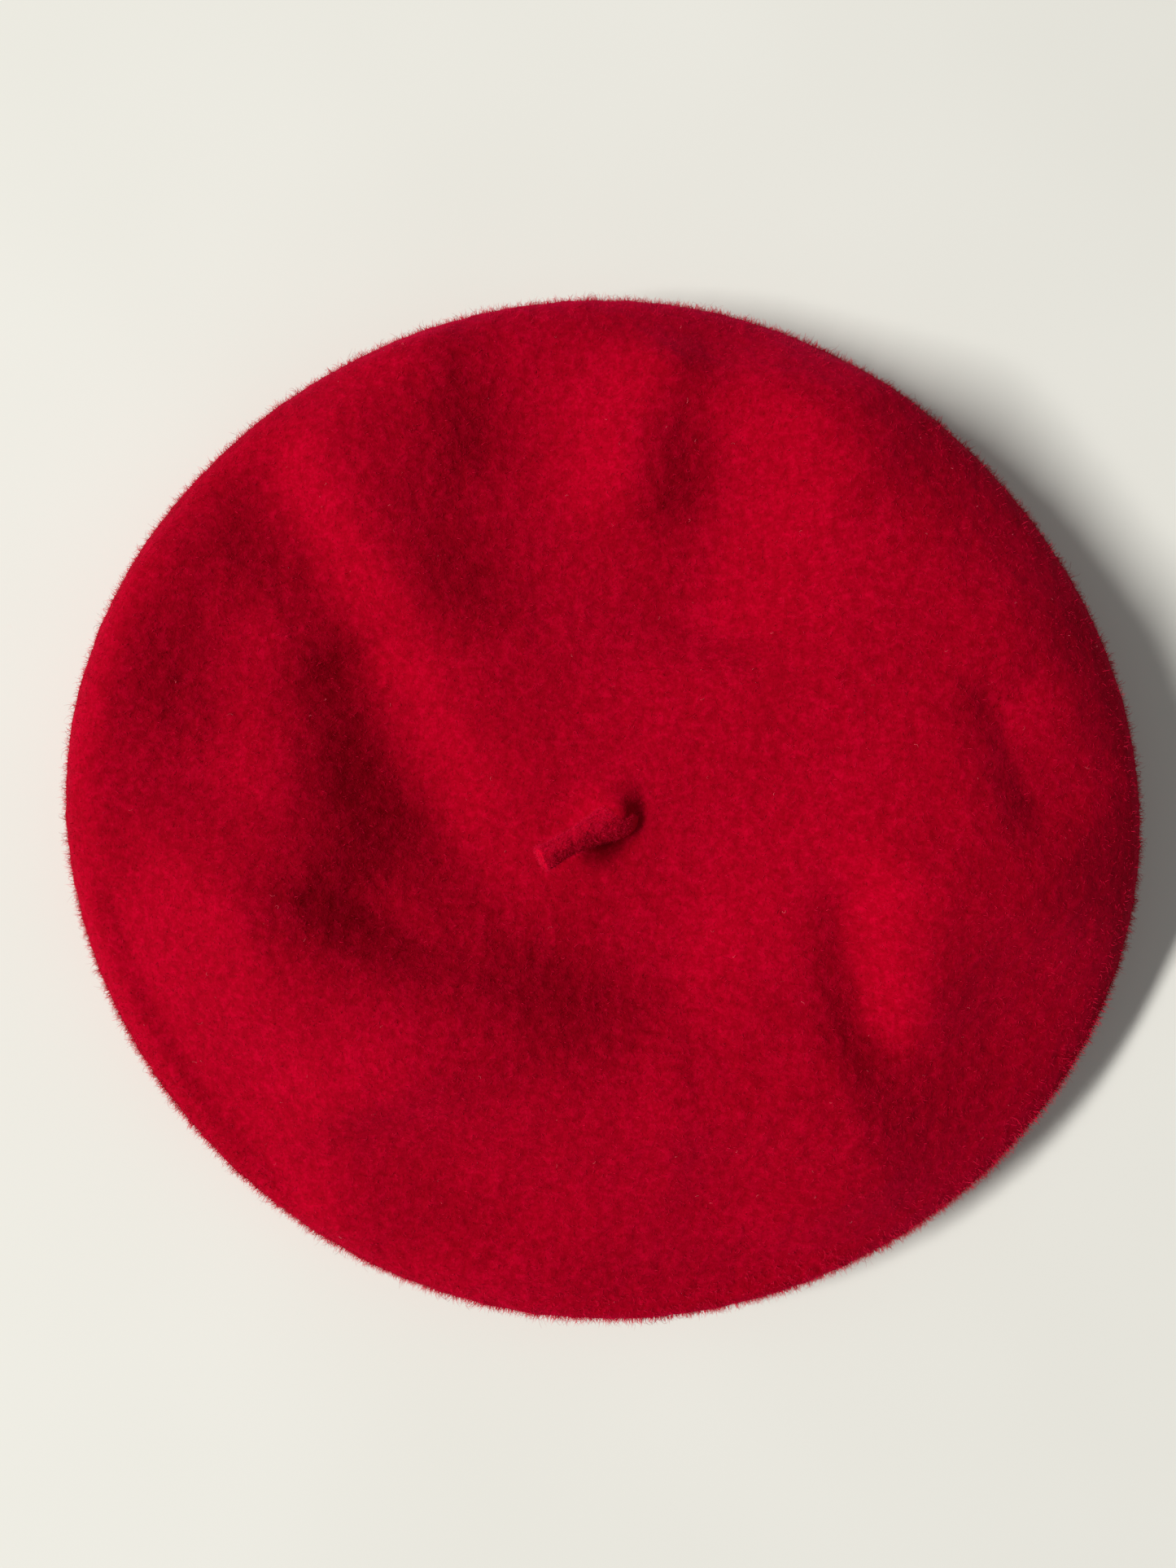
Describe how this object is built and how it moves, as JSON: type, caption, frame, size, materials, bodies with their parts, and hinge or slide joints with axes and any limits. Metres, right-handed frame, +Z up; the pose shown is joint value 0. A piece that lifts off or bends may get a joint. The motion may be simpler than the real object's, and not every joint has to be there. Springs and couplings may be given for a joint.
{
  "type": "beret",
  "caption": "Round wool-felt beret lying flat: puffed crown, rolled rim, short felt stalk, head opening with a grosgrain sweatband, and blank labels inside.",
  "frame": {"origin": "middle of the footprint, on the surface that the underside lies on", "axes": "+Z up through the crown, +Y towards the back of the head opening, where the ribbon joins, and +X to the wearer's right"},
  "size_m": [0.287, 0.2733, 0.0417],
  "materials": {
    "wool_felt": "fulled and brushed, with a short fuzz",
    "wool_thread": "soft twisted wool",
    "grosgrain": "ribbed ribbon, slight sheen",
    "sewing_thread": "twisted polyester",
    "woven_label": "fine woven damask",
    "label_thread": "twisted polyester",
    "satin_tape": "satin"
  },
  "bodies": {
    "beret": {"felt_body": "wool_felt", "stalk_stitches": "wool_thread", "sweatband": "grosgrain", "sweatband_stitches": "sewing_thread", "sweatband_join_stitches": "sewing_thread", "maker_label": "woven_label", "maker_label_stitches": "label_thread", "care_label_stitches": "label_thread"},
    "stalk_tail": {"stalk": "wool_felt"},
    "care_tape": {"care_label": "satin_tape"}
  },
  "joints": [
    {"name": "stalk_lean", "type": "hinge", "parent": "beret", "child": "stalk_tail", "pos_m": [0.00263, -0.0046, 0.0284], "axis": [-0.4019, 0.9157, 0], "range_deg": [-20, 60], "stiffness_Nm_per_rad": 0.004},
    {"name": "care_label_flip", "type": "hinge", "parent": "beret", "child": "care_tape", "pos_m": [0.03064, 0.0842, 0.0156], "axis": [0.9397, -0.342, 0], "range_deg": [0, 50]}
  ]
}
